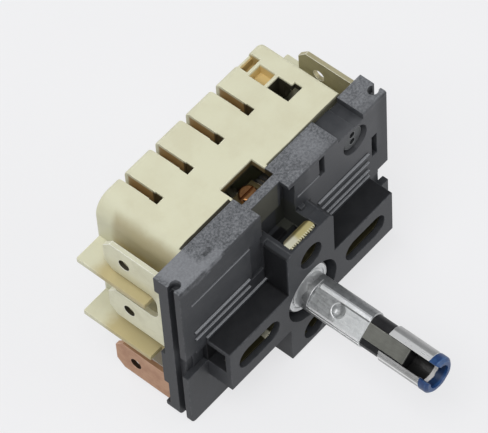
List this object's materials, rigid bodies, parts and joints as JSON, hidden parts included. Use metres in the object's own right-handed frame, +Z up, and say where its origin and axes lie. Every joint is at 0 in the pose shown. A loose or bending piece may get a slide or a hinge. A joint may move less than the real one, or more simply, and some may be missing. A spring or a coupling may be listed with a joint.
{
  "type": "infinite switch",
  "caption": "Rotary energy regulator for a cooker element: boxed switch with a cross-shaped mounting boss, spade terminals at its sides and a push-to-turn control shaft.",
  "frame": {"origin": "on the shaft's axis in the front face of the mounting boss", "axes": "+Y runs from the boss to the back of the switch along the shaft's axis, +X runs to the right along the long side of the case and +Z is up"},
  "size_m": [0.0474, 0.0488, 0.034],
  "materials": {
    "cover_black": "moulded phenolic with a dull sheen",
    "housing_cream": "moulded, satin",
    "strap_brass": "sheared sheet",
    "terminal_tin": "tinned sheet",
    "terminal_copper": "tarnished copper alloy sheet",
    "screw_steel": "dark zinc plate",
    "screw_copper": "coppered",
    "shaft_zinc": "die-cast, satin",
    "core_black": "moulded",
    "clip_steel": "bright rolled strip",
    "leaf_steel": "dull tempered strip",
    "tip_blue": "moulded, satin",
    "spring_steel": "drawn wire",
    "cam_plastic": "moulded",
    "lever_steel": "pressed, zinc plated",
    "bimetal": "rolled strip",
    "mica": "split sheet",
    "heater_wire": "resistance wire",
    "bead_ceramic": "fired",
    "blade_bronze": "spring strip",
    "contact_silver": "silver alloy"
  },
  "bodies": {
    "housing": {"front_cover": "cover_black", "rear_housing": "housing_cream", "mounting_strap": "strap_brass", "twin_terminal": "terminal_tin", "load_terminal": "terminal_copper", "supply_terminal": "terminal_tin", "return_terminal": "terminal_tin", "cover_screw": "screw_steel", "follower_pin": "screw_steel", "fixed_contact": "contact_silver", "line_fixed_contact": "contact_silver"},
    "cam": {"cam": "cam_plastic", "return_spring": "spring_steel"},
    "shaft": {"shaft_sleeve": "shaft_zinc", "shaft_core": "core_black", "shaft_clip": "clip_steel", "shaft_leaf": "leaf_steel", "shaft_tip_cap": "tip_blue", "retaining_ring": "spring_steel"},
    "follower_lever": {"cam_follower": "lever_steel", "bimetal_strip": "bimetal", "compensator_strip": "bimetal", "heater_sleeve": "mica", "heater_winding": "heater_wire", "striker_bead": "bead_ceramic", "adjust_screw": "screw_copper"},
    "cycling_blade": {"snap_blade": "blade_bronze", "moving_contact": "contact_silver"},
    "line_contact_blade": {"line_blade": "blade_bronze", "line_moving_contact": "contact_silver"}
  },
  "joints": [
    {"name": "cam_turn", "type": "hinge", "parent": "housing", "child": "cam", "pos_m": [0, 0.006, 0], "axis": [0, 1, 0], "range_deg": [0, 360]},
    {"name": "shaft_push", "type": "slide", "parent": "cam", "child": "shaft", "axis": [0, 1, 0], "range_m": [0, 0.0025], "stiffness_N_per_m": 300, "springref_m": -0.002, "deforming": ["return_spring"]},
    {"name": "follower_swing", "type": "hinge", "parent": "housing", "child": "follower_lever", "pos_m": [-0.0136, 0.0098, 0.0122], "axis": [0, -1, 0], "range_deg": [0, 7.4]},
    {"name": "cycling_contact", "type": "hinge", "parent": "housing", "child": "cycling_blade", "pos_m": [0.0132, 0.0158, 0.0129], "axis": [0, -1, 0], "range_deg": [0, 9], "stiffness_Nm_per_rad": 0.002, "springref_deg": -2.86},
    {"name": "line_contact", "type": "hinge", "parent": "housing", "child": "line_contact_blade", "pos_m": [0.0159, 0.0132, -0.00925], "axis": [0, 1, 0], "range_deg": [0, 3.6], "stiffness_Nm_per_rad": 0.002}
  ],
  "couplings": [
    {"joint": "follower_swing", "follows": "cam_turn", "ratio": 0.02043}
  ]
}
